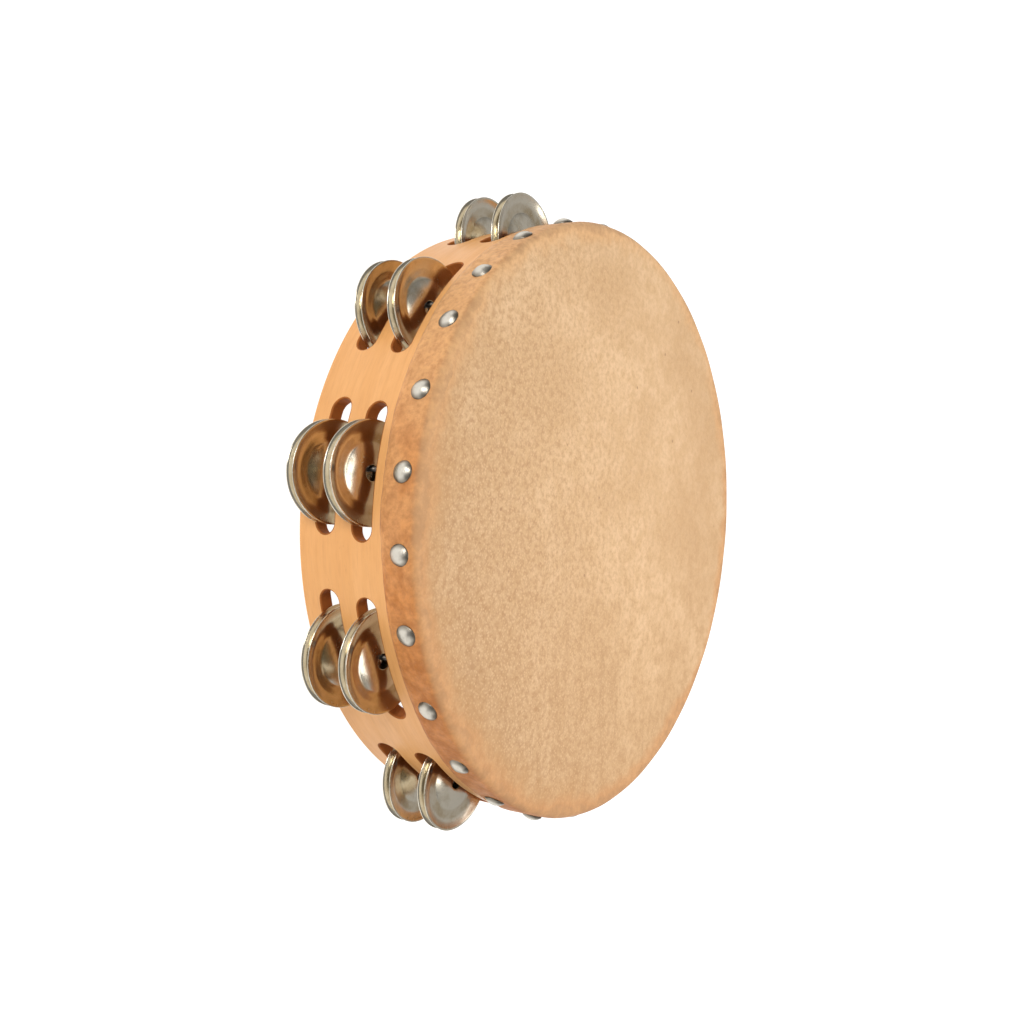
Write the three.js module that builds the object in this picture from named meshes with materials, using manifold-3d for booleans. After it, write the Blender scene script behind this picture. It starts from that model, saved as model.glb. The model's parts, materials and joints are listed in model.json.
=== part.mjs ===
// A 10 inch tambourine: a bent beech hoop with a tacked calfskin head, and nine pinned stations of
// paired jingles in two rows, with a plain stretch of hoop left free for the hand.
// Millimetres, +Z up. The drum's axis is Z, the open back rim lies on z = 0 and the head faces +Z.

import * as THREE from "three";
import { mergeVertices } from "three/addons/utils/BufferGeometryUtils.js";
import Module from "manifold-3d";

// Whole drum
const HEAD_RADIUS = 127.6; // outside of the skin where it turns down over the hoop
const DEPTH = 57.6; // back rim to drum face
const FIT_GAP = 0.3; // air between pieces that touch

// Skin head: a disc with a lapped band down the outside of the hoop
const SKIN_THICKNESS = 0.8;
const SKIN_LAP = 17.5; // how far the band reaches below the face
const SKIN_EDGE_RADIUS = 2.6; // rounded edge of the drum face
const SKIN_SEGMENTS = 72;

// Hoop
const HOOP_RADIUS = HEAD_RADIUS - SKIN_THICKNESS - FIT_GAP;
const HOOP_WALL = 6.0;
const HOOP_TOP = DEPTH - SKIN_THICKNESS - FIT_GAP;
const HOOP_BEVEL = 0.8; // eased corners of the back rim
const HOOP_SEGMENTS = 96;

// Stations: jingle slots and pins, 33 degrees apart, with a gap of 96 degrees for the hand
const STATION_PITCH = 33;
const FIRST_STATION = -3; // station k stands at k * STATION_PITCH, anticlockwise from +X
const STATION_COUNT = 9;
const PIN_CIRCLE = HOOP_RADIUS - HOOP_WALL / 2;

// Slots: two round-ended windows over each other at each station
const SLOT_LENGTH = 51.0;
const SLOT_HEIGHT = 8.9;

// The two rows of slots. skew is how many degrees a row's slots stand ahead of their pins. Station
// by station, lean is how many degrees the pair of jingles leans on its pin, its outer side down,
// and rise is how far up the pin it lies from the slot's rear edge.
const ROWS = [
  {
    name: "rear",
    floor: 9.1,
    skew: -0.4,
    lean: [3, 1, 4, 2, 2, 3, 8, 3, 2],
    rise: [0.4, 0, 1.2, 0.6, 1.0, 1.6, 0, 0, 1.6],
  },
  {
    name: "front",
    floor: 27.2,
    skew: 0.4,
    lean: [1, 4, 2, 3, 2, 5, 7, 2, 3],
    rise: [1.0, 0.5, 0, 1.2, 1.8, 0, 0, 0.4, 1.6],
  },
];
const SLOT_END_STEPS = 3; // half the facets of each round slot end

// Pins: one long wire pin per station, up through the wall and both of its slots
const PIN_RADIUS = 1.0;
const PIN_HOLE_RADIUS = 1.35;
const PIN_TOP = 46.0;
const PIN_SIDES = 10;

// Jingles: shallow pressed dishes with a raised dome, in pairs back to back
const JINGLE_RADIUS = 19.7;
const JINGLE_SHEET = 0.6;
const JINGLE_HEIGHT = 2.1; // flat ring's back to the top of the lip, and to the top of the dome
const JINGLE_HOLE = 2.9;
const DOME_FOOT = 12.0; // radius where the dome meets the flat ring
const RING_EDGE = 16.2; // radius where the flat ring turns up into the lip
const JINGLE_SEGMENTS = 16;
const JINGLE_HANG = 1.5; // each jingle lies against its pin, this far off centre
const HANG_ANGLE = 200; // and in this direction, anticlockwise from +X

const BEECH = { color: 0xe0a56a, roughness: 0.5, metalness: 0 };
const CALFSKIN = { color: 0xc9a377, roughness: 0.65, metalness: 0 };
const STEEL_WIRE = { color: 0x8f8d88, roughness: 0.4, metalness: 1 };
const NICKEL = { color: 0xc9c3b5, roughness: 0.22, metalness: 1 };

const wasm = await Module();
wasm.setup();

const radians = THREE.MathUtils.degToRad;

// A closed geometry as a manifold solid: shared vertices are merged by position alone.
function toSolid(geometry) {
  const bare = geometry.clone();
  bare.deleteAttribute("normal");
  bare.deleteAttribute("uv");
  const merged = mergeVertices(bare, 1e-4);
  return new wasm.Manifold(
    new wasm.Mesh({
      numProp: 3,
      vertProperties: new Float32Array(merged.attributes.position.array),
      triVerts: new Uint32Array(merged.index.array),
    }),
  );
}

function toGeometry(solid) {
  const mesh = solid.getMesh();
  const geometry = new THREE.BufferGeometry();
  geometry.setAttribute("position", new THREE.BufferAttribute(mesh.vertProperties, 3));
  geometry.setIndex(new THREE.BufferAttribute(mesh.triVerts, 1));
  geometry.computeVertexNormals();
  return geometry;
}

// A solid of revolution about +Z from a closed [radius, height] outline given anticlockwise
// (radius to the right, height up).
function revolved(outline, segments) {
  const closed = [...outline, outline[0]];
  const points = closed.map(([radius, height]) => new THREE.Vector2(radius, height));
  return new THREE.LatheGeometry(points, segments).rotateX(Math.PI / 2);
}

// The points of an arc in an outline, end points included.
function arc(centreX, centreY, radius, fromDegrees, toDegrees, steps) {
  return Array.from({ length: steps + 1 }, (_, i) => {
    const angle = radians(fromDegrees + ((toDegrees - fromDegrees) * i) / steps);
    return [centreX + radius * Math.cos(angle), centreY + radius * Math.sin(angle)];
  });
}

// A round-ended bar lying along Y, pushed out along X: it cuts one slot in the wall at angle 0.
function slotCutter(floor) {
  const end = SLOT_HEIGHT / 2;
  const reach = SLOT_LENGTH / 2 - end;
  const outline = new THREE.Shape();
  outline.absarc(reach, 0, end, -Math.PI / 2, Math.PI / 2, false);
  outline.absarc(-reach, 0, end, Math.PI / 2, (3 * Math.PI) / 2, false);
  const bar = new THREE.ExtrudeGeometry(outline, {
    depth: 5 * HOOP_WALL,
    bevelEnabled: false,
    curveSegments: SLOT_END_STEPS,
  });
  // The outline's x runs along the drum's Y, its y along Z, and the extrusion along X.
  bar.applyMatrix4(
    new THREE.Matrix4().makeBasis(
      new THREE.Vector3(0, 1, 0),
      new THREE.Vector3(0, 0, 1),
      new THREE.Vector3(1, 0, 0),
    ),
  );
  return bar.translate(PIN_CIRCLE - 2.5 * HOOP_WALL, 0, floor + end);
}

function pinHoleCutter() {
  const bottom = -5;
  const length = PIN_TOP + FIT_GAP - bottom;
  return new THREE.CylinderGeometry(PIN_HOLE_RADIUS, PIN_HOLE_RADIUS, length, PIN_SIDES)
    .rotateX(Math.PI / 2)
    .translate(PIN_CIRCLE, 0, bottom + length / 2);
}

const stations = Array.from({ length: STATION_COUNT }, (_, i) => ({
  number: i + 1,
  angle: (FIRST_STATION + i) * STATION_PITCH,
}));

// The bent hoop, with its slots and pin holes
function hoopGeometry() {
  const inner = HOOP_RADIUS - HOOP_WALL;
  const outline = [
    [inner, HOOP_BEVEL],
    [inner + HOOP_BEVEL, 0],
    [HOOP_RADIUS - HOOP_BEVEL, 0],
    [HOOP_RADIUS, HOOP_BEVEL],
    ...arc(HOOP_RADIUS - SKIN_EDGE_RADIUS, HOOP_TOP - SKIN_EDGE_RADIUS, SKIN_EDGE_RADIUS, 0, 90, 2),
    [inner, HOOP_TOP],
  ];
  let hoop = toSolid(revolved(outline, HOOP_SEGMENTS));
  const cutters = [
    { cutter: toSolid(pinHoleCutter()), skew: 0 },
    ...ROWS.map((row) => ({ cutter: toSolid(slotCutter(row.floor)), skew: row.skew })),
  ];
  for (const { angle } of stations) {
    for (const { cutter, skew } of cutters) {
      hoop = hoop.subtract(cutter.rotate([0, 0, angle + skew]));
    }
  }
  return toGeometry(hoop);
}

// The skin: face, rounded edge and lapped band, one thickness throughout
function skinGeometry() {
  const face = DEPTH;
  const bandFoot = DEPTH - SKIN_LAP;
  const insideEdge = HEAD_RADIUS - SKIN_THICKNESS;
  const centreX = HOOP_RADIUS - SKIN_EDGE_RADIUS;
  const centreY = HOOP_TOP - SKIN_EDGE_RADIUS;
  const outer = SKIN_EDGE_RADIUS + FIT_GAP + SKIN_THICKNESS;
  const inner = SKIN_EDGE_RADIUS + FIT_GAP;
  const outline = [
    [0, face - SKIN_THICKNESS],
    ...arc(centreX, centreY, inner, 90, 0, 3),
    [insideEdge, bandFoot],
    [HEAD_RADIUS, bandFoot],
    ...arc(centreX, centreY, outer, 0, 90, 3),
    [0, face],
  ];
  const points = outline.map(([radius, height]) => new THREE.Vector2(radius, height));
  return new THREE.LatheGeometry(points, SKIN_SEGMENTS).rotateX(Math.PI / 2);
}

function pinGeometry() {
  const bottom = FIT_GAP;
  return new THREE.CylinderGeometry(PIN_RADIUS, PIN_RADIUS, PIN_TOP - bottom, PIN_SIDES)
    .rotateX(Math.PI / 2)
    .translate(0, 0, bottom + (PIN_TOP - bottom) / 2);
}

// One jingle, lip and dome up, with the back of its flat ring on z = 0
function jingleGeometry() {
  const top = JINGLE_HEIGHT;
  const under = JINGLE_HEIGHT - JINGLE_SHEET;
  return revolved(
    [
      [JINGLE_HOLE, under],
      [DOME_FOOT - 0.2, 0],
      [RING_EDGE + 0.2, 0],
      [JINGLE_RADIUS, under],
      [JINGLE_RADIUS, top],
      [RING_EDGE, JINGLE_SHEET],
      [DOME_FOOT, JINGLE_SHEET],
      [JINGLE_HOLE, top],
    ],
    JINGLE_SEGMENTS,
  );
}

// The point at a radius and an angle in the plane z = 0
function around(radius, degrees) {
  return new THREE.Vector3(radius * Math.cos(radians(degrees)), radius * Math.sin(radians(degrees)), 0);
}

function piece(name, geometry, look) {
  const mesh = new THREE.Mesh(geometry, new THREE.MeshStandardMaterial(look));
  mesh.name = name;
  return mesh;
}

// A back-to-back pair on its pin: the lower jingle faces the open back and the upper one the head.
// The pair leans out over the outer corner of the slot's rear edge, and clears it by its rise.
function jinglePair(row, number, angle) {
  const lean = radians(row.lean[number - 1]);
  const pair = new THREE.Group();
  const lower = piece(`jingle_${row.name}_${number}_lower`, jingleGeometry(), NICKEL);
  lower.rotation.x = Math.PI;
  lower.position.z = JINGLE_HEIGHT;
  const upper = piece(`jingle_${row.name}_${number}_upper`, jingleGeometry(), NICKEL);
  upper.position.z = JINGLE_HEIGHT + FIT_GAP;
  pair.add(lower, upper);
  pair.rotateOnAxis(around(1, angle + 90), lean);
  pair.position.copy(around(PIN_CIRCLE, angle)).add(around(JINGLE_HANG, HANG_ANGLE));
  const overhang = (HOOP_WALL / 2 + JINGLE_HANG) * Math.tan(lean);
  pair.position.z = row.floor + FIT_GAP + row.rise[number - 1] + overhang;
  // The pin runs through the middle of the pair's height.
  pair.position.sub(around(JINGLE_HEIGHT * Math.sin(lean), angle));
  return pair;
}

const group = new THREE.Group();
group.add(piece("hoop", hoopGeometry(), BEECH));
group.add(piece("skin_head", skinGeometry(), CALFSKIN));

for (const { number, angle } of stations) {
  const pin = piece(`pin_${number}`, pinGeometry(), STEEL_WIRE);
  pin.position.copy(around(PIN_CIRCLE, angle));
  group.add(pin, ...ROWS.map((row) => jinglePair(row, number, angle)));
}

export default group;
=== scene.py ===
import json
import math
import random

import bmesh
import bpy
from mathutils import Matrix, Vector, noise
from mathutils.geometry import delaunay_2d_cdt


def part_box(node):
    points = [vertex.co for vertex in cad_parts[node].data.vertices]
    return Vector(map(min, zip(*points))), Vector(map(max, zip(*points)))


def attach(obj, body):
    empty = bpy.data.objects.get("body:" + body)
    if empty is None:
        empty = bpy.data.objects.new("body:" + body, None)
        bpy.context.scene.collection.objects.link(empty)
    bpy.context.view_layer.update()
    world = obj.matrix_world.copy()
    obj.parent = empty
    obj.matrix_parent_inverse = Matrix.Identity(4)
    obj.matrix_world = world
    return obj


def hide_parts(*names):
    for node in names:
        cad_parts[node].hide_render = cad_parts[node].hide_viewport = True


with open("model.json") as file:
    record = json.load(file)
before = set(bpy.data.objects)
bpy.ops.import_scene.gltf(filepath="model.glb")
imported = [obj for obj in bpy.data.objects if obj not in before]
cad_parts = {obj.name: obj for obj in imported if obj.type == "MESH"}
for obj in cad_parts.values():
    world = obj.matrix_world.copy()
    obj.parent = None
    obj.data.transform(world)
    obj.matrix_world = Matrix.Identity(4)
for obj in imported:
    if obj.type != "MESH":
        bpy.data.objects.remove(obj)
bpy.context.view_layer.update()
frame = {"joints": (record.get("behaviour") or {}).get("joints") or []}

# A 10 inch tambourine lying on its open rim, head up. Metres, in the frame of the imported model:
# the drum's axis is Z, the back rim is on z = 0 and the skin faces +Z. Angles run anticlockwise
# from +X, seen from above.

MM = 0.001


# ---------------------------------------------------------------- sizes

hoop_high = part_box("hoop")[1]
skin_low, skin_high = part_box("skin_head")

HOOP_RADIUS = hoop_high.x
HOOP_WALL = 6.0 * MM
HOOP_INSIDE = HOOP_RADIUS - HOOP_WALL
HOOP_TOP = hoop_high.z
RIM_ROUND = 1.0 * MM  # eased corners of the back rim

STATION_PITCH = 33.0
STATIONS = [STATION_PITCH * k for k in range(-3, 6)]
GRIP = 213.0  # the middle of the plain stretch of hoop
PIN_CIRCLE = HOOP_RADIUS - HOOP_WALL / 2

SLOT_LENGTH = 51.0 * MM
SLOT_HEIGHT = 8.9 * MM
SLOT_ROUND = 0.7 * MM  # eased edges of the slots
# Each row's slot floor, and how many degrees its slots stand ahead of the pins.
ROWS = {"rear": (9.1 * MM, -0.4), "front": (27.2 * MM, 0.4)}
SLOTS = [(station + ahead, floor) for station in STATIONS for floor, ahead in ROWS.values()]

SKIN_RADIUS = skin_high.x
SKIN_TOP = skin_high.z
SKIN_FOOT = skin_low.z
SKIN_THICKNESS = 0.8 * MM
SKIN_SEAT = HOOP_RADIUS + 0.03 * MM  # the band's inside, a hair off the wood
SKIN_EDGE = 3.4 * MM  # rounded edge between the face and the band
BAND_TAPER = 2.5 * MM  # stretch above the cut edge over which the band thins onto the wood
CUT_EDGE = 0.35 * MM  # what is left of the skin's thickness at the cut edge
LAP_SKEW = 1.0 * MM  # half of what the lap's depth swings through, twice round the drum
LAP_SKEW_AT = 62.0  # where the lap is deepest

TACK_RADIUS = 4.2 * MM
TACK_SEGMENTS = 40
TACK_PROUD = 1.8 * MM
TACK_HEIGHT = SKIN_TOP - 7.5 * MM
TACK_PULL = 4.6 * MM  # how far from a tack the skin is pulled in
TACK_DIP = 0.22 * MM  # and how deep
TACK_COUNT = 26
TACK_RUN_START = 31.5  # the evenest run of tacks, driven a little closer than the rest
TACK_RUN_PITCH = 13.6
TACK_RUN_COUNT = 12
TACK_WANDER = [0, 0.4, 0.8, -0.4, -0.2, 0, -0.3, -0.6, 0.2, 0.6, 0.5, 0]  # degrees, driven by eye

JINGLE_RADIUS = 19.7 * MM
JINGLE_HEIGHT = 2.1 * MM  # back of the flat ring to the top of the dome
LIP_HEIGHT = 1.85 * MM  # back of the flat ring to the top of the lip
JINGLE_GAP = 0.3 * MM  # between the backs of a pair
JINGLE_SHEET = 0.55 * MM
JINGLE_HOLE = 2.9 * MM
DOME_FOOT = 11.8 * MM
LIP_START = 15.0 * MM
JINGLE_SEGMENTS = 88
PIN_RADIUS = 1.0 * MM
PIN_SEGMENTS = 28

AROUND = 360  # columns round the drum


# ---------------------------------------------------------------- small helpers


def at(radius, degrees, z=0.0):
    a = math.radians(degrees)
    return Vector((radius * math.cos(a), radius * math.sin(a), z))


def smoothstep(low, high, x):
    t = min(1.0, max(0.0, (x - low) / (high - low)))
    return t * t * (3 - 2 * t)


def round_noise(angle, z, around, along, seed):
    """Noise that closes on itself round the drum: around and along are its scales."""
    place = Vector((math.cos(angle) * around, math.sin(angle) * around, z * along + seed))
    return noise.noise(place)


def mesh_object(name, points, faces, materials, face_slots=None):
    mesh = bpy.data.meshes.new(name)
    mesh.from_pydata([tuple(p) for p in points], [], faces)
    for material in materials:
        mesh.materials.append(material)
    mesh.polygons.foreach_set("use_smooth", [True] * len(mesh.polygons))
    if face_slots is not None:
        mesh.polygons.foreach_set("material_index", face_slots)
    mesh.update()
    obj = bpy.data.objects.new(name, mesh)
    bpy.context.scene.collection.objects.link(obj)
    return obj


def lathe(profile, segments, bend=None):
    """Points and faces of a closed (radius, height) profile turned about Z.
    bend(angle, radius, height) gives back a changed (radius, height)."""
    points, faces = [], []
    count = len(profile)
    for j in range(segments):
        angle = 2 * math.pi * j / segments
        for radius, height in profile:
            if bend:
                radius, height = bend(angle, radius, height)
            points.append((radius * math.cos(angle), radius * math.sin(angle), height))
    for j in range(segments):
        here, there = j * count, (j + 1) % segments * count
        for i in range(count):
            k = (i + 1) % count
            faces.append((here + i, there + i, there + k, here + k))
    return points, faces


def offset_profile(centre_line, thickness):
    """A closed profile of one thickness either side of an open (radius, height) line."""
    line = [Vector(p) for p in centre_line]
    left, right = [], []
    for i, p in enumerate(line):
        run = (line[min(i + 1, len(line) - 1)] - line[max(i - 1, 0)]).normalized()
        side = Vector((-run.y, run.x)) * thickness / 2
        left.append(p + side)
        right.append(p - side)
    start = round_end(line[0], line[0] - line[1], thickness)
    finish = round_end(line[-1], line[-1] - line[-2], thickness)
    return [tuple(p) for p in [*right, *finish, *reversed(left), *start]]


def round_end(tip, outward, thickness, steps=4):
    """The points between the two sides of a strip that round off its end, without those sides."""
    out = outward.normalized()
    side = Vector((out.y, -out.x))
    half = thickness / 2
    turns = [math.pi * k / steps for k in range(1, steps)]
    return [tip + side * half * math.cos(t) + out * half * math.sin(t) for t in turns]


# ---------------------------------------------------------------- node helpers


class Nodes:
    """A material's node tree, with short calls for the nodes used here."""

    def __init__(self, name):
        self.material = bpy.data.materials.new(name)
        self.material.use_nodes = True
        self.tree = self.material.node_tree
        self.shader = self.tree.nodes["Principled BSDF"]
        self.place = self.add("ShaderNodeTexCoord").outputs["Object"]

    def add(self, kind, **settings):
        node = self.tree.nodes.new(kind)
        for key, value in settings.items():
            setattr(node, key, value)
        return node

    def link(self, source, target):
        self.tree.links.new(source, target)

    def feed(self, value, socket):
        """Sets a socket to a number or a colour, or links another node's output to it."""
        if isinstance(value, (int, float)):
            socket.default_value = value
        elif isinstance(value, tuple):
            socket.default_value = (*value, 1.0)
        else:
            self.link(value, socket)

    def scaled(self, scale, turn=0.0):
        """The place, turned about Z by some degrees and then stretched."""
        place = self.place
        if turn:
            spin = self.add("ShaderNodeMapping", vector_type="POINT")
            spin.inputs["Rotation"].default_value = (0, 0, math.radians(turn))
            self.link(place, spin.inputs["Vector"])
            place = spin.outputs["Vector"]
        node = self.add("ShaderNodeMapping", vector_type="POINT")
        node.inputs["Scale"].default_value = scale
        self.link(place, node.inputs["Vector"])
        return node.outputs["Vector"]

    def noise(self, vector, scale, detail=3.0, roughness=0.55, distortion=0.0):
        node = self.add("ShaderNodeTexNoise")
        self.link(vector, node.inputs["Vector"])
        node.inputs["Scale"].default_value = scale
        node.inputs["Detail"].default_value = detail
        node.inputs["Roughness"].default_value = roughness
        node.inputs["Distortion"].default_value = distortion
        return node.outputs["Fac"]

    def cells(self, vector, scale):
        node = self.add("ShaderNodeTexVoronoi", feature="F1")
        self.link(vector, node.inputs["Vector"])
        node.inputs["Scale"].default_value = scale
        return node.outputs["Distance"]

    def between(self, value, low, high, to_low=0.0, to_high=1.0):
        node = self.add("ShaderNodeMapRange", interpolation_type="SMOOTHSTEP")
        self.link(value, node.inputs["Value"])
        node.inputs["From Min"].default_value = low
        node.inputs["From Max"].default_value = high
        node.inputs["To Min"].default_value = to_low
        node.inputs["To Max"].default_value = to_high
        return node.outputs["Result"]

    def math(self, operation, a, b=0.0):
        node = self.add("ShaderNodeMath", operation=operation)
        self.feed(a, node.inputs[0])
        self.feed(b, node.inputs[1])
        return node.outputs[0]

    def mix(self, factor, a, b):
        node = self.add("ShaderNodeMix", data_type="RGBA", blend_type="MIX")
        self.feed(factor, node.inputs["Factor"])
        self.feed(a, node.inputs[6])
        self.feed(b, node.inputs[7])
        return node.outputs[2]

    def height(self):
        node = self.add("ShaderNodeSeparateXYZ")
        self.link(self.place, node.inputs[0])
        return node.outputs[2]

    def radius(self):
        """Distance from the object's Z axis."""
        flat = self.add("ShaderNodeVectorMath", operation="MULTIPLY")
        self.link(self.place, flat.inputs[0])
        flat.inputs[1].default_value = (1, 1, 0)
        length = self.add("ShaderNodeVectorMath", operation="LENGTH")
        self.link(flat.outputs[0], length.inputs[0])
        return length.outputs["Value"]

    def along(self, direction):
        """Distance from the middle towards a direction."""
        node = self.add("ShaderNodeVectorMath", operation="DOT_PRODUCT")
        self.link(self.place, node.inputs[0])
        node.inputs[1].default_value = direction
        return node.outputs["Value"]

    def bump(self, height, strength, distance, below=None):
        node = self.add("ShaderNodeBump")
        node.inputs["Strength"].default_value = strength
        node.inputs["Distance"].default_value = distance
        self.link(height, node.inputs["Height"])
        if below:
            self.link(below, node.inputs["Normal"])
        return node.outputs["Normal"]

    def finish(self, colour, roughness, normal=None, **constants):
        self.feed(colour, self.shader.inputs["Base Color"])
        self.feed(roughness, self.shader.inputs["Roughness"])
        if normal:
            self.link(normal, self.shader.inputs["Normal"])
        for key, value in constants.items():
            self.shader.inputs[key.replace("_", " ")].default_value = value
        return self.material


# ---------------------------------------------------------------- materials


def beech(name, pale, warm, fleck_colour, roughness, coat):
    """Bent beech: soft grain running round the hoop, fine streaks and a few short dark flecks."""
    n = Nodes(name)
    grain = n.noise(n.scaled((12, 12, 210)), 1.0, detail=4, roughness=0.6, distortion=0.4)
    fine = n.noise(n.scaled((110, 110, 1300)), 1.0, detail=2)
    mottle = n.noise(n.scaled((1, 1, 1.6)), 210, detail=3, roughness=0.6)
    clouds = n.noise(n.scaled((16, 16, 30)), 1.0, detail=2)
    flecks = n.cells(n.scaled((300, 300, 1500)), 1.0)
    fleck_patches = n.noise(n.scaled((60, 60, 200)), 1.0)
    fleck = n.math("MULTIPLY", n.between(flecks, 0.2, 0.08), n.between(fleck_patches, 0.48, 0.66))
    colour = n.mix(n.between(grain, 0.32, 0.68, 0.1, 0.6), pale, warm)
    colour = n.mix(n.between(clouds, 0.3, 0.7, 0.0, 0.35), colour, warm)
    colour = n.mix(n.between(mottle, 0.4, 0.72, 0.0, 0.3), colour, warm)
    colour = n.mix(n.between(fine, 0.4, 0.8, 0.0, 0.16), colour, fleck_colour)
    colour = n.mix(n.math("MULTIPLY", fleck, 0.35), colour, fleck_colour)
    relief = n.math("SUBTRACT", n.math("ADD", n.math("MULTIPLY", grain, 0.5), fine), fleck)
    normal = n.bump(relief, 0.25, 0.0002)
    rough = n.between(grain, 0.3, 0.7, roughness - 0.05, roughness + 0.08)
    shine = 0.4 if coat else 0.2
    gloss = {"Coat_Weight": coat, "Coat_Roughness": 0.35, "Specular_IOR_Level": shine}
    return n.finish(colour, rough, normal, **gloss)


def calfskin(name):
    """Dry natural skin: tan and pebbled on the face, stained orange-brown round its edge and down
    the lapped band, with a soiled line where hands and cases rub the corner. Painted shade darkens
    both flanks of the face, the face beside the band on its near side, and the band towards the
    drum's foot. Painted light pales the band towards the crown."""
    n = Nodes(name)
    clouds = n.noise(n.scaled((1, 0.8, 1)), 20, detail=4, roughness=0.6, distortion=0.5)
    mottle = n.noise(n.scaled((1, 1, 1)), 150, detail=3, roughness=0.6)
    pebbles = n.noise(n.scaled((1, 1, 1)), 400, detail=4, roughness=0.68)
    grains = n.cells(n.scaled((1, 1, 1)), 760)
    streaks = n.noise(n.scaled((9, 75, 30), turn=-20), 1.0, detail=4, roughness=0.6, distortion=0.3)
    specks = n.cells(n.scaled((1, 1, 1)), 62)

    light, tan = (0.73, 0.494, 0.284), (0.59, 0.372, 0.192)
    deep, worn, speck = (0.40, 0.215, 0.095), (0.46, 0.275, 0.135), (0.3, 0.15, 0.07)
    orange, rust, sallow = (0.66, 0.262, 0.068), (0.47, 0.16, 0.033), (0.78, 0.44, 0.19)
    dark_rust, side_shade_brown, soil = (0.34, 0.12, 0.035), (0.50, 0.26, 0.10), (0.38, 0.215, 0.105)

    # Distances towards the foot and the crown of the drum, as the picture shows it standing, and
    # towards its near and far sides.
    foot, crown = n.along((-0.94, -0.34, 0)), n.along((0.94, 0.34, 0))
    near_side, far_side = n.along((-0.55, 0.83, 0)), n.along((0.34, -0.94, 0))

    # The grain is coarse on the near flank of the hide and fades to the far one. The foot is
    # streaked, and both flanks are painted darker than the middle as painted shade.
    coarse = n.between(near_side, -0.10, 0.11, 0.35, 1.0)
    face = n.mix(n.between(clouds, 0.34, 0.66), light, tan)
    face = n.mix(n.between(mottle, 0.38, 0.66, 0.0, 0.55), face, tan)
    face = n.mix(n.math("MULTIPLY", coarse, 0.34), face, tan)
    lower = n.between(foot, -0.02, 0.09)
    face = n.mix(n.math("MULTIPLY", n.between(streaks, 0.42, 0.64, 0.1, 0.9), lower), face, tan)
    face = n.mix(n.math("MULTIPLY", n.between(streaks, 0.52, 0.68, 0.0, 0.5), lower), face, worn)
    face = n.mix(n.math("MULTIPLY", n.between(mottle, 0.48, 0.66, 0.0, 0.4), lower), face, worn)
    # Painted shade: the lower near flank of the face is darkened.
    low_flank_shade = n.between(n.along((-0.88, 0.47, 0)), 0.0, 0.12, 0.0, 0.3)
    face = n.mix(low_flank_shade, face, deep)
    # Painted shade: the far flank of the face is darkened.
    far_flank_shade = n.between(far_side, 0.02, 0.10, 0.0, 0.16)
    face = n.mix(far_flank_shade, face, deep)
    face = n.mix(n.math("MULTIPLY", n.between(pebbles, 0.38, 0.68, 0.0, 0.74), coarse), face, deep)
    face = n.mix(n.math("MULTIPLY", n.between(grains, 0.5, 0.1, 0.0, 0.5), coarse), face, light)
    face = n.mix(n.between(specks, 0.055, 0.03, 0.0, 0.6), face, speck)

    # The stain round the face has a soft, wandering edge. The band is stained, with painted light
    # making it palest at the crown and painted shade darkening it towards the foot.
    from_axis, up = n.radius(), n.height()
    wander = n.math("MULTIPLY", n.math("SUBTRACT", clouds, 0.5), 0.022)
    wander = n.math("ADD", wander, n.math("MULTIPLY", n.math("SUBTRACT", mottle, 0.5), 0.006))
    ring = n.math("ADD", from_axis, wander)
    # Painted shade: the face is darkened next to the band on its near side.
    side_shade_reach = n.between(n.along((-0.72, 0.69, 0)), 0.0, 0.10)
    side_shade = n.math("MULTIPLY", n.between(ring, 0.105, 0.121, 0.0, 0.42), side_shade_reach)
    face = n.mix(side_shade, face, side_shade_brown)
    stain = n.between(ring, 0.1165, 0.1245, 0.0, 0.75)
    band = n.between(up, SKIN_TOP - 0.3 * MM, SKIN_TOP - 2.6 * MM)
    stain_and_painted_light = n.mix(n.between(mottle, 0.36, 0.66), orange, rust)
    stain_and_painted_light = n.mix(n.between(clouds, 0.42, 0.64, 0.0, 0.35), stain_and_painted_light, sallow)
    # Painted light: the band is paled towards the crown.
    stain_and_painted_light = n.mix(n.between(crown, 0.0, 0.10, 0.0, 0.85), stain_and_painted_light, sallow)
    # Painted shade: the band is darkened towards the foot.
    stain_and_painted_light = n.mix(n.between(foot, 0.02, 0.11, 0.0, 0.45), stain_and_painted_light, rust)
    stain_and_painted_light = n.mix(n.between(pebbles, 0.34, 0.74, 0.0, 0.5), stain_and_painted_light, dark_rust)
    colour = n.mix(stain, face, n.mix(0.4, stain_and_painted_light, tan))
    colour = n.mix(band, colour, stain_and_painted_light)

    # The soiled corner.
    by_height = n.between(up, SKIN_TOP - 3.6 * MM, SKIN_TOP - 1.0 * MM)
    corner = n.math("MULTIPLY", by_height, n.between(ring, 0.1228, 0.1248))
    soiled = n.math("MULTIPLY", corner, n.between(mottle, 0.34, 0.66, 0.08, 0.42))
    colour = n.mix(soiled, colour, soil)

    relief = n.math("MULTIPLY", n.math("SUBTRACT", grains, pebbles), coarse)
    relief = n.math("ADD", relief, n.math("MULTIPLY", mottle, 0.8))
    normal = n.bump(relief, 0.4, 0.0003)
    rough = n.between(mottle, 0.3, 0.7, 0.55, 0.75)
    gloss = {"Sheen_Weight": 0.06, "Sheen_Roughness": 0.5, "Specular_IOR_Level": 0.3}
    return n.finish(colour, rough, normal, **gloss)


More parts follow.
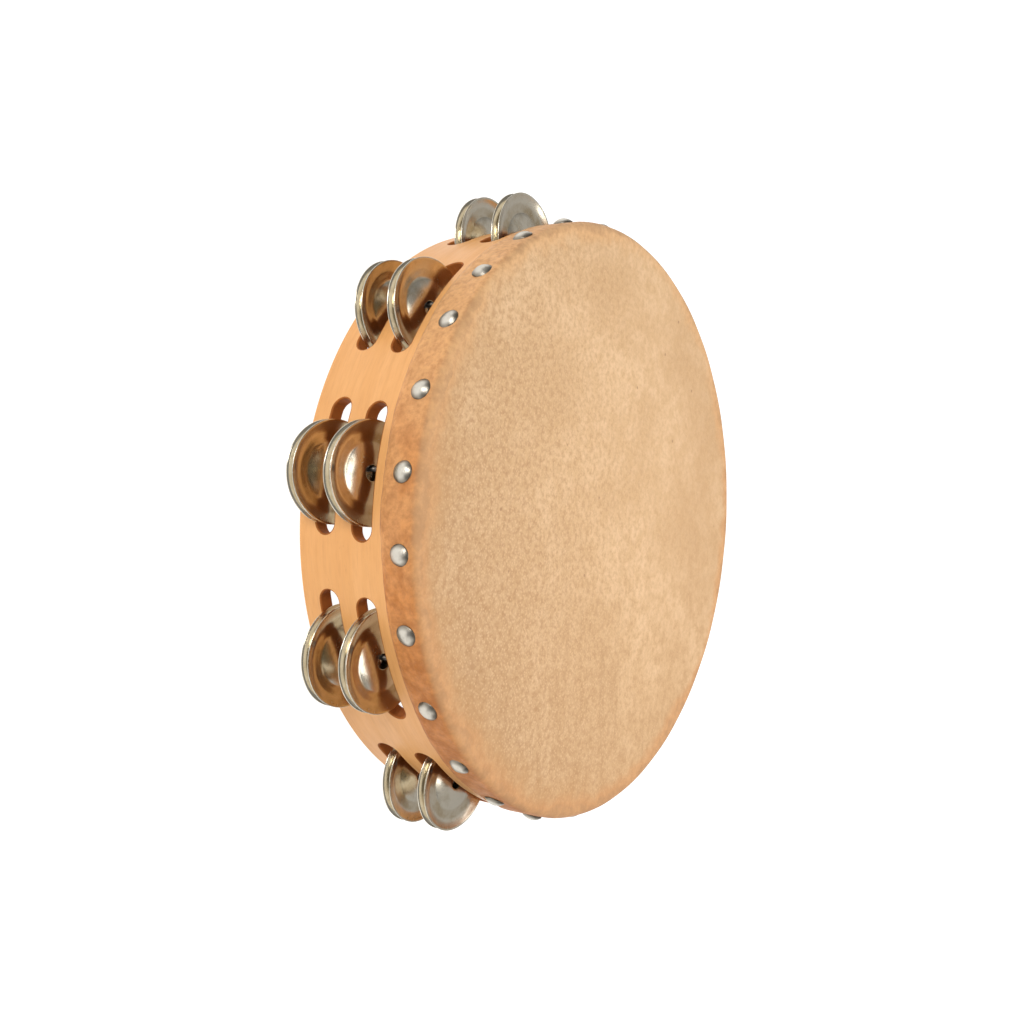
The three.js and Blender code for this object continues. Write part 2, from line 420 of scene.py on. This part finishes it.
def flesh_side(name):
    """The skin's inside: paler, matt and slightly fibrous."""
    n = Nodes(name)
    fibres = n.noise(n.scaled((1, 0.25, 1)), 700, detail=4, roughness=0.7, distortion=0.8)
    clouds = n.noise(n.scaled((1, 1, 1)), 28, detail=4)
    pale, sandy, brown = (0.72, 0.56, 0.38), (0.62, 0.44, 0.26), (0.5, 0.33, 0.18)
    colour = n.mix(n.between(clouds, 0.3, 0.7), pale, sandy)
    colour = n.mix(n.between(fibres, 0.45, 0.75, 0.0, 0.4), colour, brown)
    return n.finish(colour, 0.85, n.bump(fibres, 0.6, 0.0003), Sheen_Weight=0.2)


def nickel(name, colour, tarnish, roughness, scratch, edge_shade=None, wood_reflection_ring=None):
    """Nickel plate: faint turned rings, wiping scratches and a warm tarnish in patches. It has one
    roughness where it is clean and one where it is tarnished. Its last two arguments are pairs of
    radii: between the first a piece is painted darker towards its rim, as painted shade and painted
    dark reflection, and between the second a brown ring is painted, as a painted reflection of the
    wood."""
    n = Nodes(name)
    patches = n.noise(n.scaled((1, 1, 1)), 130, detail=4, roughness=0.6)
    smears = n.noise(n.scaled((1, 2.2, 1)), 420, detail=3, distortion=1.5)
    rings = n.add("ShaderNodeTexNoise", noise_dimensions="1D")
    rings.inputs["Scale"].default_value = 5200
    rings.inputs["Detail"].default_value = 2
    n.link(n.radius(), rings.inputs["W"])
    tone = n.mix(n.between(patches, 0.46, 0.72, 0.0, 0.6), colour, tarnish)
    tone = n.mix(n.between(smears, 0.5, 0.75, 0.0, 0.25), tone, tarnish)
    if edge_shade:
        # Painted shade and painted dark reflection: the piece is darkened towards its rim.
        dark = tuple(c * 0.45 for c in tarnish)
        tone = n.mix(n.between(n.radius(), *edge_shade, 0.0, 0.85), tone, dark)
    if wood_reflection_ring:
        # Painted reflection of the wood: a brown ring between the two radii.
        inner, outer = wood_reflection_ring
        ring = n.between(n.radius(), inner - 0.8 * MM, inner + 0.4 * MM)
        ring = n.math("MULTIPLY", ring, n.between(n.radius(), outer + 1.2 * MM, outer - 0.4 * MM))
        ring = n.math("MULTIPLY", ring, n.between(patches, 0.35, 0.65, 0.25, 0.65))
        brown = (tarnish[0] * 0.85, tarnish[1] * 0.75, tarnish[2] * 0.6)
        tone = n.mix(ring, tone, brown)
    relief = n.math("ADD", n.math("MULTIPLY", rings.outputs["Fac"], 0.5), smears)
    normal = n.bump(relief, scratch, 0.00004)
    rough = n.between(patches, 0.35, 0.7, *roughness)
    rough = n.math("ADD", rough, n.between(smears, 0.45, 0.8, 0.0, 0.06))
    return n.finish(tone, rough, normal, Metallic=1.0)


def drawn_wire(name):
    """Dull wire with fine lines along it and a few brown spots."""
    n = Nodes(name)
    lines = n.noise(n.scaled((4000, 4000, 60)), 1.0, detail=2)
    spots = n.noise(n.scaled((1, 1, 1)), 500, detail=3)
    grey, dark_grey, brown = (0.27, 0.25, 0.23), (0.15, 0.14, 0.13), (0.2, 0.12, 0.07)
    colour = n.mix(n.between(lines, 0.4, 0.65), grey, dark_grey)
    colour = n.mix(n.between(spots, 0.55, 0.75, 0.0, 0.5), colour, brown)
    rough = n.between(spots, 0.35, 0.7, 0.3, 0.55)
    return n.finish(colour, rough, n.bump(lines, 0.3, 0.00005), Metallic=1.0)


WOOD = beech(
    "beech_lacquered",
    pale=(0.83, 0.422, 0.148),
    warm=(0.74, 0.345, 0.102),
    fleck_colour=(0.45, 0.16, 0.04),
    roughness=0.42,
    coat=0.12,
)
# The slots' walls: cut end grain that is darker, and darker still as painted shade inside the
# slots.
WOOD_CUT_AND_SHADE = beech(
    "beech_cut_and_painted_shade",
    pale=(0.52, 0.165, 0.03),
    warm=(0.27, 0.075, 0.015),
    fleck_colour=(0.08, 0.025, 0.008),
    roughness=0.6,
    coat=0.0,
)
WOOD_INSIDE = beech(
    "beech_inside",
    pale=(0.74, 0.42, 0.20),
    warm=(0.62, 0.325, 0.135),
    fleck_colour=(0.36, 0.17, 0.07),
    roughness=0.6,
    coat=0.0,
)
SKIN = calfskin("calfskin")
SKIN_INSIDE = flesh_side("calfskin_flesh_side")
JINGLE_METAL = nickel(
    "jingle_nickel",
    colour=(0.715, 0.655, 0.535),
    tarnish=(0.48, 0.395, 0.255),
    roughness=(0.16, 0.25),
    scratch=0.15,
    # a brown ring round the dome foot: painted reflection of the wood
    wood_reflection_ring=(DOME_FOOT, LIP_START),
)
TACK_METAL = nickel(
    "tack_nickel",
    colour=(0.6, 0.56, 0.485),
    tarnish=(0.4, 0.34, 0.26),
    roughness=(0.33, 0.45),
    scratch=0.5,
    # darker towards the rim: painted shade and painted dark reflection
    edge_shade=(2.2 * MM, 4.0 * MM),
)
WIRE = drawn_wire("pin_wire")


# ---------------------------------------------------------------- hoop


def slot_outline():
    """(y, z, outward y, outward z) round a slot centred on zero, anticlockwise."""
    end = SLOT_HEIGHT / 2
    reach = SLOT_LENGTH / 2 - end
    straight, turn = 20, 14  # points along each side and round each end
    outline = []
    for side in (1, -1):
        for k in range(turn):
            a = math.pi * (k / turn - 0.5) + (0 if side > 0 else math.pi)
            y, z = math.cos(a), math.sin(a)
            outline.append((side * reach + end * y, end * z, y, z))
        for k in range(straight):
            outline.append((side * reach * (1 - 2 * k / straight), side * end, 0.0, float(side)))
    return outline


class HoopMesh:
    """The bent hoop as a wall with rounded slots. Every vertex carries its own normal, and every
    edge is rounded, so the whole surface is smooth."""

    GRID_STEP = 2.4 * MM
    CLEAR = 1.1 * MM  # no grid point nearer than this to a slot's edge
    OUTSIDE, CUT, INSIDE = 0, 1, 2  # the material slots

    def __init__(self):
        self.points, self.normals, self.faces, self.slots = [], [], [], []
        self.outline = slot_outline()
        rounds = [30, 60, 90]  # degrees round the eased edge of a slot
        self.low, self.high = RIM_ROUND, HOOP_TOP - SKIN_EDGE
        outer_edges, outer_rims = self.wall(HOOP_RADIUS, 1)
        inner_edges, inner_rims = self.wall(HOOP_INSIDE, -1)
        for key in outer_edges:
            rings = [outer_edges[key]]
            rings += [self.slot_ring(key, HOOP_RADIUS, 1, r) for r in rounds]
            rings += [self.slot_ring(key, HOOP_INSIDE, -1, r) for r in reversed(rounds)]
            rings += [inner_edges[key]]
            for a, b in zip(rings, rings[1:]):
                self.bridge(a, b, self.CUT)
        self.rim(outer_rims[0], inner_rims[0], z_to=0.0, rounding=RIM_ROUND, up=-1, steps=3)
        self.rim(outer_rims[1], inner_rims[1], z_to=HOOP_TOP, rounding=SKIN_EDGE, up=1, steps=5)

    def add(self, point, normal):
        self.points.append(Vector(point))
        self.normals.append(Vector(normal).normalized())
        return len(self.points) - 1

    def face(self, corners, slot):
        self.faces.append(tuple(corners))
        self.slots.append(slot)

    def bridge(self, a, b, slot):
        for i in range(len(a)):
            j = (i + 1) % len(a)
            self.face((a[i], a[j], b[j], b[i]), slot)

    def slot_ring(self, key, radius, side, turn):
        """One ring of the rounded edge of a slot: turn 0 lies on the wall and 90 in the slot."""
        middle, floor = key
        t = math.radians(turn)
        spread = SLOT_ROUND * (1 - math.sin(t))
        depth = SLOT_ROUND * (1 - math.cos(t))
        r = radius - side * depth
        ring = []
        for y, z, ny, nz in self.outline:
            yy, zz = y + ny * spread, floor + SLOT_HEIGHT / 2 + z + nz * spread
            angle = math.degrees(math.asin(yy / r)) + middle
            place = at(r, angle, zz)
            outward = at(1, angle)
            into_slot = -(at(1, middle + 90) * ny + Vector((0, 0, nz)))
            normal = outward * side * math.cos(t) + into_slot * math.sin(t)
            ring.append(self.add(place, normal))
        return ring

    def wall(self, radius, side):
        """One face of the wall, with its slots left open. Gives the slots' edge rings and the rings
        of vertices along the wall's lower and upper edges."""
        start = GRIP  # the seam of the unrolled wall
        edges = {key: self.slot_ring(key, radius, side, 0) for key in SLOTS}
        flat, index = [], []

        def plot(vertex, degrees):
            flat.append(Vector((math.radians(degrees) * radius, self.points[vertex].z)))
            index.append(vertex)

        loops = []
        for ring in edges.values():
            first = len(flat)
            for vertex in ring:
                p = self.points[vertex]
                plot(vertex, (math.degrees(math.atan2(p.y, p.x)) - start) % 360 + start)
            loops += [(first + i, first + (i + 1) % len(ring)) for i in range(len(ring))]
        rows = max(2, round((self.high - self.low) / self.GRID_STEP))
        grid, rims = {}, ([], [])
        for row in range(rows + 1):
            z = self.low + (self.high - self.low) * row / rows
            for column in range(AROUND):
                degrees = start + 360 * column / AROUND
                on_rim = row in (0, rows)
                if on_rim or self.is_clear(radius, degrees, z):
                    vertex = self.add(at(radius, degrees, z), at(side, degrees))
                    grid[row, column] = vertex
                    plot(vertex, degrees)
                    if on_rim:
                        rims[row > 0].append(vertex)
            if (row, 0) in grid:
                plot(grid[row, 0], start + 360)
        points, _, triangles, origins, _, _ = delaunay_2d_cdt(flat, loops, [], 0, 1e-9)
        for triangle in triangles:
            middle = sum((points[v] for v in triangle), Vector((0, 0))) / 3
            if self.in_slot(radius, math.degrees(middle.x / radius), middle.y):
                continue
            corners = [index[origins[v][0]] for v in triangle]
            if len(set(corners)) == 3:
                if side > 0:
                    self.face(corners, self.OUTSIDE)
                else:
                    self.face(corners[::-1], self.INSIDE)
        return edges, rims

    def distance_to_slots(self, radius, degrees, z):
        """How far a place on the wall is outside the nearest slot. Negative is inside it."""
        nearest = 1.0
        for middle, floor in SLOTS:
            turn = (degrees - middle + 180) % 360 - 180
            if abs(turn) < STATION_PITCH / 2 + 1:
                along = abs(radius * math.sin(math.radians(turn))) - (SLOT_LENGTH - SLOT_HEIGHT) / 2
                up = abs(z - floor - SLOT_HEIGHT / 2)
                nearest = min(nearest, math.hypot(max(along, 0), up) - SLOT_HEIGHT / 2)
        return nearest

    def is_clear(self, radius, degrees, z):
        return self.distance_to_slots(radius, degrees, z) > SLOT_ROUND + self.CLEAR

    def in_slot(self, radius, degrees, z):
        """Whether a triangle's middle is within a slot's edge ring. It is a little tight, because
        the ring's sides are straight."""
        return self.distance_to_slots(radius, degrees, z) < SLOT_ROUND * 0.9

    def rim(self, outer, inner, z_to, rounding, up, steps):
        """Closes the wall along one edge: a rounded corner, a flat, and a rounded corner."""
        rings = [outer]
        for side, radius in ((1, HOOP_RADIUS), (-1, HOOP_INSIDE)):
            corner = min(rounding, RIM_ROUND) if side < 0 else rounding
            new = []
            for k in range(1, steps + 1):
                t = math.radians(90 * k / steps)
                r = radius - side * corner * (1 - math.cos(t))
                z = z_to - up * corner * (1 - math.sin(t))
                new.append(self.rim_ring(outer, r, z, side * math.cos(t), up * math.sin(t)))
            rings += new if side > 0 else new[::-1]
        rings.append(inner)
        for a, b in zip(rings, rings[1:]):
            self.bridge(a, b, self.OUTSIDE)

    def rim_ring(self, like, radius, z, out, up):
        ring = []
        for vertex in like:
            angle = math.degrees(math.atan2(self.points[vertex].y, self.points[vertex].x))
            ring.append(self.add(at(radius, angle, z), at(out, angle) + Vector((0, 0, up))))
        return ring


def make_hoop():
    shape = HoopMesh()
    woods = [WOOD, WOOD_CUT_AND_SHADE, WOOD_INSIDE]
    hoop = mesh_object("hoop_bent_beech", shape.points, shape.faces, woods, shape.slots)
    solid = bmesh.new()
    solid.from_mesh(hoop.data)
    bmesh.ops.recalc_face_normals(solid, faces=solid.faces)
    solid.to_mesh(hoop.data)
    solid.free()
    hoop.data.normals_split_custom_set_from_vertices([tuple(n) for n in shape.normals])
    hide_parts("hoop")
    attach(hoop, "frame")


# ---------------------------------------------------------------- skin head


def tack_angles():
    """The 26 tacks: an evenly driven run, and the rest spread over what is left."""
    run = [TACK_RUN_START + TACK_RUN_PITCH * i + TACK_WANDER[i] for i in range(TACK_RUN_COUNT)]
    left = 360 - TACK_RUN_PITCH * (TACK_RUN_COUNT - 1)
    others = TACK_COUNT - TACK_RUN_COUNT
    draw = random.Random(11)
    step = left / (others + 1)
    rest = [run[-1] + step * (i + 1) + draw.uniform(-0.6, 0.6) for i in range(others)]
    return run + rest


TACKS = tack_angles()


def nearest_tack(degrees):
    """Degrees from the nearest tack, signed."""
    return min(((degrees - t + 180) % 360 - 180 for t in TACKS), key=abs)


def band_shift(angle, z):
    """How far the band stands off its round: pulled in at the tacks, puckered between them."""
    degrees = math.degrees(angle)
    away = nearest_tack(degrees)
    arc = math.radians(away) * SKIN_RADIUS
    up = z - TACK_HEIGHT
    dip = math.exp(-(arc * arc + up * up) / (2 * TACK_PULL**2))
    low = smoothstep(SKIN_TOP - 3 * MM, SKIN_TOP - 12 * MM, z)
    pucker = round_noise(angle, z, 30, 25, 3.1) * 0.22 * MM * low
    lumps = round_noise(angle, z, 9, 60, 8.4) * 0.16 * MM
    return -TACK_DIP * dip + pucker + lumps + 0.05 * MM


def band_foot(angle):
    """The height of the skin's cut edge, trimmed by hand: deeper on two sides of the drum."""
    skewed = LAP_SKEW * (1 - math.cos(2 * (angle - math.radians(LAP_SKEW_AT))))
    slow = round_noise(angle, 0, 5, 1, 1.7) * 0.7 * MM
    quick = round_noise(angle, 0, 24, 1, 5.2) * 0.35 * MM
    return SKIN_FOOT + skewed + (slow + quick)


def face_shift(angle, radius):
    """Slow waves in the struck face, and short ripples where the tacks pull at its edge."""
    waves = noise.noise(at(radius, math.degrees(angle)) * 24 + Vector((0, 0, 4))) * 0.10 * MM
    pull = math.cos(math.radians(nearest_tack(math.degrees(angle))) * TACK_COUNT)
    near = smoothstep(SKIN_RADIUS - 16 * MM, SKIN_RADIUS - 4 * MM, radius)
    return waves - 0.06 * MM * pull * near


def skin_surface(inset, rings_in):
    """Rings of one side of the skin, from the centre of the face to the foot of the band.
    Each ring is a list of points, one for each column. The band lies on the hoop, and thins
    towards its cut edge."""
    edge = SKIN_EDGE - inset
    centre_r, centre_z = SKIN_RADIUS - SKIN_EDGE, SKIN_TOP - SKIN_EDGE
    profile = [(centre_r * (k + 1) / rings_in, SKIN_TOP - inset, 0.0) for k in range(rings_in)]
    turns = 8
    for k in range(1, turns + 1):
        t = math.radians(90 * k / turns)
        profile.append((centre_r + edge * math.sin(t), centre_z + edge * math.cos(t), k / turns))
    down = 14
    profile += [(SKIN_RADIUS - inset, ("band", k / down), 1.0) for k in range(1, down + 1)]
    rings = []
    for radius, z, turned in profile:
        ring = []
        for column in range(AROUND):
            angle = 2 * math.pi * column / AROUND
            height, thin = z, 0.0
            if isinstance(z, tuple):
                foot = band_foot(angle)
                height = centre_z + (foot - centre_z) * z[1] ** 0.8
                thin = smoothstep(foot + BAND_TAPER, foot, height)
            if inset:
                out = radius + (SKIN_SEAT - radius) * turned
            else:
                out = radius + band_shift(angle, height) * turned
                out += (SKIN_SEAT + CUT_EDGE - out) * thin
            lift = face_shift(angle, radius) * (1 - turned)
            ring.append((out * math.cos(angle), out * math.sin(angle), height + lift))
        rings.append(ring)
    return rings


def make_skin():
    outside = skin_surface(inset=0.0, rings_in=46)
    inside = skin_surface(inset=SKIN_THICKNESS, rings_in=24)
    rings = [*outside, *reversed(inside)]
    points = [p for ring in rings for p in ring]
    faces, slots = [], []
    for r in range(len(rings) - 1):
        for c in range(AROUND):
            d = (c + 1) % AROUND
            here, there = r * AROUND, (r + 1) * AROUND
            faces.append((here + c, there + c, there + d, here + d))
            slots.append(0 if r <= len(outside) else 1)
    # A fan of triangles closes the middle of the face on either side.
    last = len(rings) - 1
    for ring, z, flip, slot in (
        (0, SKIN_TOP, False, 0),
        (last, SKIN_TOP - SKIN_THICKNESS, True, 1),
    ):
        centre = len(points)
        points.append((0.0, 0.0, z + face_shift(0, 0)))
        for c in range(AROUND):
            d = (c + 1) % AROUND
            corners = (ring * AROUND + c, ring * AROUND + d, centre)
            faces.append(corners[::-1] if flip else corners)
            slots.append(slot)
    skin = mesh_object("calfskin_head", points, faces, [SKIN, SKIN_INSIDE], slots)
    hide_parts("skin_head")
    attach(skin, "frame")


# ---------------------------------------------------------------- tacks


def tack_profile():
    """Dome, turned-under edge, hollow underside and tapered shank, in (radius, height)."""
    dome_steps = 12
    cap = (TACK_RADIUS**2 + TACK_PROUD**2) / (2 * TACK_PROUD)
    reach = math.asin(TACK_RADIUS / cap)
    dome = []
    for k in range(dome_steps + 1):
        t = reach * k / dome_steps
        dome.append((max(cap * math.sin(t), 0.01 * MM), TACK_PROUD - cap * (1 - math.cos(t))))
    edge = [(TACK_RADIUS - 0.02 * MM, -0.12 * MM), (TACK_RADIUS - 0.3 * MM, -0.25 * MM)]
    under = [(TACK_RADIUS - 0.7 * MM, -0.05 * MM), (1.6 * MM, 0.5 * MM), (0.8 * MM, 0.3 * MM)]
    shank = [(0.75 * MM, -3.5 * MM), (0.3 * MM, -5.6 * MM), (0.01 * MM, -6.2 * MM)]
    return (dome + edge + under + shank)[::-1]


def make_tacks():
    profile = tack_profile()
    draw = random.Random(5)
    for i, degrees in enumerate(TACKS):
        seed = Vector((i * 3.7, 1.3, 0.4))

        def dent(angle, radius, height):
            if height < 0:
                return radius, height
            place = Vector((math.cos(angle), math.sin(angle), 0)) * radius * 420 + seed
            out = 1 + 0.03 * math.sin(2 * angle + i)
            return radius * out, height + noise.noise(place) * 0.13 * MM

        points, faces = lathe(profile, TACK_SEGMENTS, dent)
        stand = at(1, degrees)
        lean = Matrix.Rotation(math.radians(draw.uniform(-4, 4)), 4, "X")
        lean @= Matrix.Rotation(math.radians(draw.uniform(-4, 4)), 4, "Y")
        turn = stand.to_track_quat("Z", "Y").to_matrix().to_4x4()
        z = TACK_HEIGHT + draw.uniform(-0.5, 0.5) * MM
        seat = SKIN_RADIUS - 0.02 * MM
        place = Matrix.Translation(at(seat, degrees, z)) @ turn @ lean
        tack = mesh_object(f"tack_{i + 1:02d}", points, faces, [TACK_METAL])
        tack.matrix_world = place
        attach(tack, "frame")


# ---------------------------------------------------------------- jingles and pins


def jingle_line():
    """The middle of the sheet from the hole to the lip: dome, flat ring, flared lip."""
    half = JINGLE_SHEET / 2
    rise, flare = JINGLE_HEIGHT - JINGLE_SHEET, LIP_HEIGHT - JINGLE_SHEET
    dome_steps, ring_steps, lip_steps = 16, 3, 8
    line = []
    start = (JINGLE_HOLE + half) / DOME_FOOT
    for k in range(dome_steps + 1):
        t = start + (1 - start) * k / dome_steps
        line.append((DOME_FOOT * t, half + rise * (1 - t**2.2) ** 0.95))
    for k in range(1, ring_steps + 1):
        line.append((DOME_FOOT + (LIP_START - DOME_FOOT) * k / ring_steps, half))
    for k in range(1, lip_steps + 1):
        t = k / lip_steps
        line.append((LIP_START + (JINGLE_RADIUS - half - LIP_START) * t, half + flare * t**1.5))
    return line


def make_jingles():
    """Each pair leans on its pin about its own axis, which its two joints share."""
    draw = random.Random(23)
    profile = offset_profile(jingle_line(), JINGLE_SHEET)
    spins = {j["child"]: j for j in frame["joints"] if j["type"] == "hinge"}
    for row in ROWS:
        for number in range(1, len(STATIONS) + 1):
            pair = f"jingle_{row}_{number}"
            spin = spins[f"{pair}_lower"]
            tilt = Vector((0, 0, 1)).rotation_difference(Vector(spin["axis"])).to_matrix().to_4x4()
            seat = Matrix.Translation(spin["pos_m"]) @ tilt
            over = Matrix.Rotation(math.pi, 4, "X")
            for half_of_pair, up, flip in (
                ("lower", JINGLE_HEIGHT, over),
                ("upper", JINGLE_HEIGHT + JINGLE_GAP, Matrix.Identity(4)),
            ):
                node = f"{pair}_{half_of_pair}"
                seed = Vector((draw.uniform(0, 50), draw.uniform(0, 50), 0.9))

                def dent(angle, r, z):
                    place = Vector((math.cos(angle), math.sin(angle), 0)) * r * 140 + seed
                    wide = noise.noise(place * 0.5) * 0.14 * MM * smoothstep(3 * MM, 19 * MM, r)
                    return r, z + wide + noise.noise(place * 2.2) * 0.03 * MM

                points, faces = lathe(profile, JINGLE_SEGMENTS, dent)
                jingle = mesh_object(f"{node}_dish", points, faces, [JINGLE_METAL])
                jingle.matrix_world = seat @ Matrix.Translation((0, 0, up)) @ flip
                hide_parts(node)
                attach(jingle, node)


def make_pins():
    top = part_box("pin_1")[1].z
    chamfer = 0.25 * MM
    flush = -0.03 * MM
    profile = [
        (0.01 * MM, flush),
        (PIN_RADIUS - chamfer, flush),
        (PIN_RADIUS, flush + chamfer),
        (PIN_RADIUS, top - 2 * chamfer),
        (PIN_RADIUS - 2 * chamfer, top),
        (0.01 * MM, top),
    ]
    for number, degrees in enumerate(STATIONS, 1):
        points, faces = lathe(profile, PIN_SEGMENTS)
        pin = mesh_object(f"pin_{number}_wire", points, faces, [WIRE])
        pin.matrix_world = Matrix.Translation(at(PIN_CIRCLE, degrees))
        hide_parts(f"pin_{number}")
        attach(pin, "frame")


# ---------------------------------------------------------------- stage, lights and camera


def glowing_floor():
    """A wide white light table: it shines softly up through the open drum and its slots."""
    reach = 4.0
    points = [(-reach, -reach, 0), (reach, -reach, 0), (reach, reach, 0), (-reach, reach, 0)]
    n = Nodes("light_table")
    n.finish((0.25, 0.25, 0.25), 0.7, Emission_Color=(1, 1, 1, 1), Emission_Strength=0.97)
    floor = mesh_object("floor", points, [(0, 1, 2, 3)], [n.material])
    floor.location.z = -0.1 * MM


def studio_world():
    world = bpy.data.worlds.new("studio")
    bpy.context.scene.world = world
    world.use_nodes = True
    tree = world.node_tree
    background = tree.nodes["Background"]
    place = tree.nodes.new("ShaderNodeTexCoord")
    split = tree.nodes.new("ShaderNodeSeparateXYZ")
    ramp = tree.nodes.new("ShaderNodeValToRGB")
    tree.links.new(place.outputs["Generated"], split.inputs[0])
    tree.links.new(split.outputs[2], ramp.inputs[0])
    tree.links.new(ramp.outputs[0], background.inputs["Color"])
    ramp.color_ramp.elements[0].color = (0.62, 0.6, 0.58, 1)
    ramp.color_ramp.elements[1].color = (0.9, 0.9, 0.9, 1)
    background.inputs["Strength"].default_value = 0.3

    # What shows behind the drum is white like the table, and lights nothing.
    backdrop = tree.nodes.new("ShaderNodeBackground")
    backdrop.inputs["Color"].default_value = (1, 1, 1, 1)
    seen = tree.nodes.new("ShaderNodeLightPath").outputs["Is Camera Ray"]
    either = tree.nodes.new("ShaderNodeMixShader")
    tree.links.new(seen, either.inputs[0])
    tree.links.new(background.outputs[0], either.inputs[1])
    tree.links.new(backdrop.outputs[0], either.inputs[2])
    tree.links.new(either.outputs[0], tree.nodes["World Output"].inputs["Surface"])


def softbox(name, direction, distance, size, power, glints=True, lights=True):
    """A lamp aimed at the middle of the drum, from a direction. Without glints it isn't mirrored,
    and without lights it is only mirrored."""
    aim = Vector((0, 0, 30 * MM))
    data = bpy.data.lights.new(name, "AREA")
    data.shape = "RECTANGLE"
    data.size, data.size_y = size
    data.energy = power
    lamp = bpy.data.objects.new(name, data)
    bpy.context.scene.collection.objects.link(lamp)
    direction = Vector(direction).normalized()
    lamp.location = aim + direction * distance
    lamp.rotation_mode = "QUATERNION"
    lamp.rotation_quaternion = direction.to_track_quat("Z", "Y")
    lamp.visible_camera = False
    lamp.visible_glossy = glints
    lamp.visible_diffuse = lights


def place_camera():
    """Looks down at the drum from 35 degrees above the table, with the camera turned on its side,
    so that the drum stands upright in the picture."""
    azimuth, elevation, roll = (math.radians(d) for d in (-164.157, 35.001, 93.226))
    aim = Vector((-0.606, 9.560, 15.429)) * MM
    distance = 534.49 * MM
    data = bpy.data.cameras.new("camera")
    data.lens = 41.92
    data.sensor_width = 36
    data.clip_start, data.clip_end = 0.01, 20
    camera = bpy.data.objects.new("camera", data)
    bpy.context.scene.collection.objects.link(camera)
    flat = math.cos(elevation)
    back = Vector((math.sin(azimuth) * flat, -math.cos(azimuth) * flat, math.sin(elevation)))
    camera.rotation_mode = "QUATERNION"
    level = back.to_track_quat("Z", "Y")
    camera.rotation_quaternion = level @ Matrix.Rotation(roll, 3, "Z").to_quaternion()
    camera.location = aim + back * distance
    bpy.context.scene.camera = camera


place_camera()
glowing_floor()
studio_world()
softbox("key", (-0.09, -0.19, 0.98), distance=0.65, size=(0.48, 0.48), power=4.15, glints=False)
softbox("front", (0.15, 0.93, 0.34), distance=1.2, size=(0.42, 0.42), power=5.8)
softbox("side", (-0.95, 0.25, 0.25), distance=1.5, size=(0.9, 0.7), power=2.2)
softbox("glint", (-0.02, -0.14, 0.99), distance=0.65, size=(0.44, 0.44), power=1.7, lights=False)
softbox("back_panel", (0.1, -0.85, 0.55), distance=1.6, size=(3.0, 1.8), power=4.5)
bpy.context.scene.view_settings.view_transform = "Standard"

make_hoop()
make_skin()
make_tacks()
make_jingles()
make_pins()
